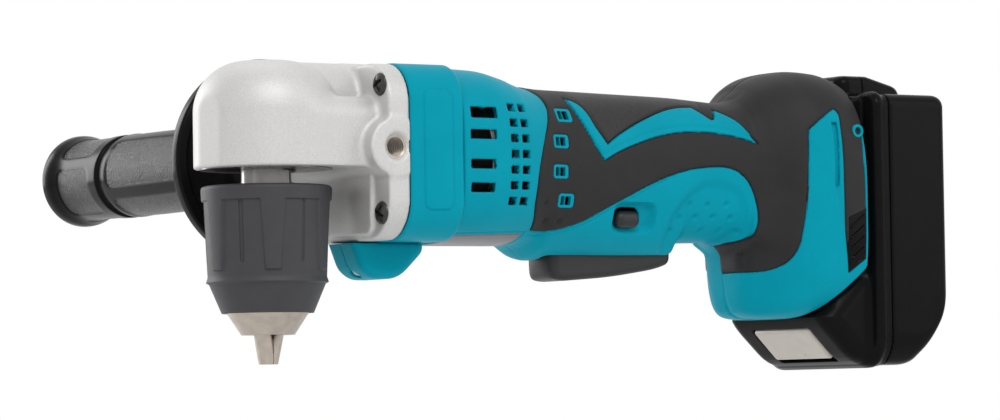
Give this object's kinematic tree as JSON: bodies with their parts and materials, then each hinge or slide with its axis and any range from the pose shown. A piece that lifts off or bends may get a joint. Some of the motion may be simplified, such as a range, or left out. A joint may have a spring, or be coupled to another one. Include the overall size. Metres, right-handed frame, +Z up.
{
  "type": "right angle drill",
  "caption": "Cordless right angle drill with a keyless chuck under a cast gear head, a long rubber-gripped body, a paddle trigger, a side handle and a slide-on battery pack.",
  "frame": {"origin": "on the spindle axis at the tips of the closed chuck jaws", "axes": "+Z up along the spindle from the jaw tips to the gear head, +X back along the body to the battery pack, +Y along the side handle"},
  "size_m": [0.3135, 0.2503, 0.1192],
  "materials": {
    "casting": "satin silver paint",
    "steel": "machined",
    "dark_steel": "blackened",
    "chuck_plastic": "fine matte",
    "teal": "satin moulded",
    "rubber": "soft moulded",
    "black_plastic": "leather grain and gloss bands",
    "pack_plastic": "satin",
    "beige": "satin",
    "lens": "clear",
    "board": "coated",
    "copper": "bright",
    "brass": "bright",
    "carbon": "dull",
    "fan_plastic": "matte",
    "cell": "film wrapped"
  },
  "bodies": {
    "tool": {"gear_housing": "casting", "bearing_retainer": "steel", "low_bearing": "steel", "top_bearing": "steel", "shaft_bearing": "steel", "flange_screws": "dark_steel", "gear_plate": "casting", "plate_bearings": "steel", "gearbox_cover": "teal", "lamp_housing": "teal", "lamp_lens": "lens", "lamp_board": "board", "housing_left": "teal", "housing_right": "teal", "rubber_left": "rubber", "rubber_right": "rubber", "housing_screws": "dark_steel", "motor_can": "steel", "motor_tail": "chuck_plastic", "brushes": "carbon", "switch_body": "chuck_plastic", "trigger_pin": "steel", "terminal_block": "chuck_plastic", "terminal_blades": "brass", "handle_guard": "black_plastic", "handle_grip": "black_plastic", "handle_bolt": "steel"},
    "spindle": {"spindle": "steel", "bevel_gear": "dark_steel", "chuck_body": "steel"},
    "sleeve": {"chuck_sleeve": "chuck_plastic", "jaw_nut": "dark_steel"},
    "jaw_1": {"jaw_1": "steel"},
    "jaw_2": {"jaw_2": "steel"},
    "jaw_3": {"jaw_3": "steel"},
    "pinion_shaft": {"bevel_pinion": "dark_steel", "spur_gear": "dark_steel"},
    "rotor": {"armature": "dark_steel", "commutator": "copper", "fan": "fan_plastic", "sun_pinion": "dark_steel"},
    "trigger": {"trigger": "black_plastic"},
    "lever": {"reverse_lever": "black_plastic"},
    "pack": {"pack_case": "pack_plastic", "pack_cover": "pack_plastic", "pack_cells": "cell", "pack_contacts": "brass"},
    "button": {"pack_button": "beige"}
  },
  "joints": [
    {"name": "spindle_spin", "type": "hinge", "parent": "tool", "child": "spindle", "pos_m": [0, 0, 0], "axis": [0, 0, 1], "continuous": true},
    {"name": "sleeve_turn", "type": "hinge", "parent": "spindle", "child": "sleeve", "pos_m": [0, 0, 0], "axis": [0, 0, 1], "range_deg": [0, 2592]},
    {"name": "jaw_1_slide", "type": "slide", "parent": "spindle", "child": "jaw_1", "axis": [0, 0.2672, 0.9636], "range_m": [0, 0.018]},
    {"name": "jaw_2_slide", "type": "slide", "parent": "spindle", "child": "jaw_2", "axis": [-0.2314, -0.1336, 0.9636], "range_m": [0, 0.018]},
    {"name": "jaw_3_slide", "type": "slide", "parent": "spindle", "child": "jaw_3", "axis": [0.2314, -0.1336, 0.9636], "range_m": [0, 0.018]},
    {"name": "pinion_spin", "type": "hinge", "parent": "tool", "child": "pinion_shaft", "pos_m": [0.03, 0, 0.0914], "axis": [1, 0, 0], "continuous": true},
    {"name": "rotor_spin", "type": "hinge", "parent": "tool", "child": "rotor", "pos_m": [0.1, 0, 0.077], "axis": [1, 0, 0], "continuous": true},
    {"name": "trigger_pull", "type": "hinge", "parent": "tool", "child": "trigger", "pos_m": [0.17148, 0, 0.044], "axis": [0, 1, 0], "range_deg": [0, 6], "stiffness_Nm_per_rad": 0.8, "springref_deg": -8.59},
    {"name": "reverse_push", "type": "slide", "parent": "tool", "child": "lever", "axis": [0, 1, 0], "range_m": [-0.0035, 0.0035]},
    {"name": "pack_slide", "type": "slide", "parent": "tool", "child": "pack", "axis": [0, 0, -1], "range_m": [0, 0.09]},
    {"name": "button_slide", "type": "slide", "parent": "pack", "child": "button", "axis": [0.7101, 0, -0.7041], "range_m": [0, 0.0025], "stiffness_N_per_m": 600, "springref_m": -0.002}
  ],
  "couplings": [
    {"joint": "pinion_spin", "follows": "spindle_spin", "ratio": 2.8182},
    {"joint": "rotor_spin", "follows": "spindle_spin", "ratio": -8.4545},
    {"joint": "jaw_1_slide", "follows": "sleeve_turn", "m_per_rad": 0.00039785},
    {"joint": "jaw_2_slide", "follows": "sleeve_turn", "m_per_rad": 0.00039785},
    {"joint": "jaw_3_slide", "follows": "sleeve_turn", "m_per_rad": 0.00039785}
  ]
}
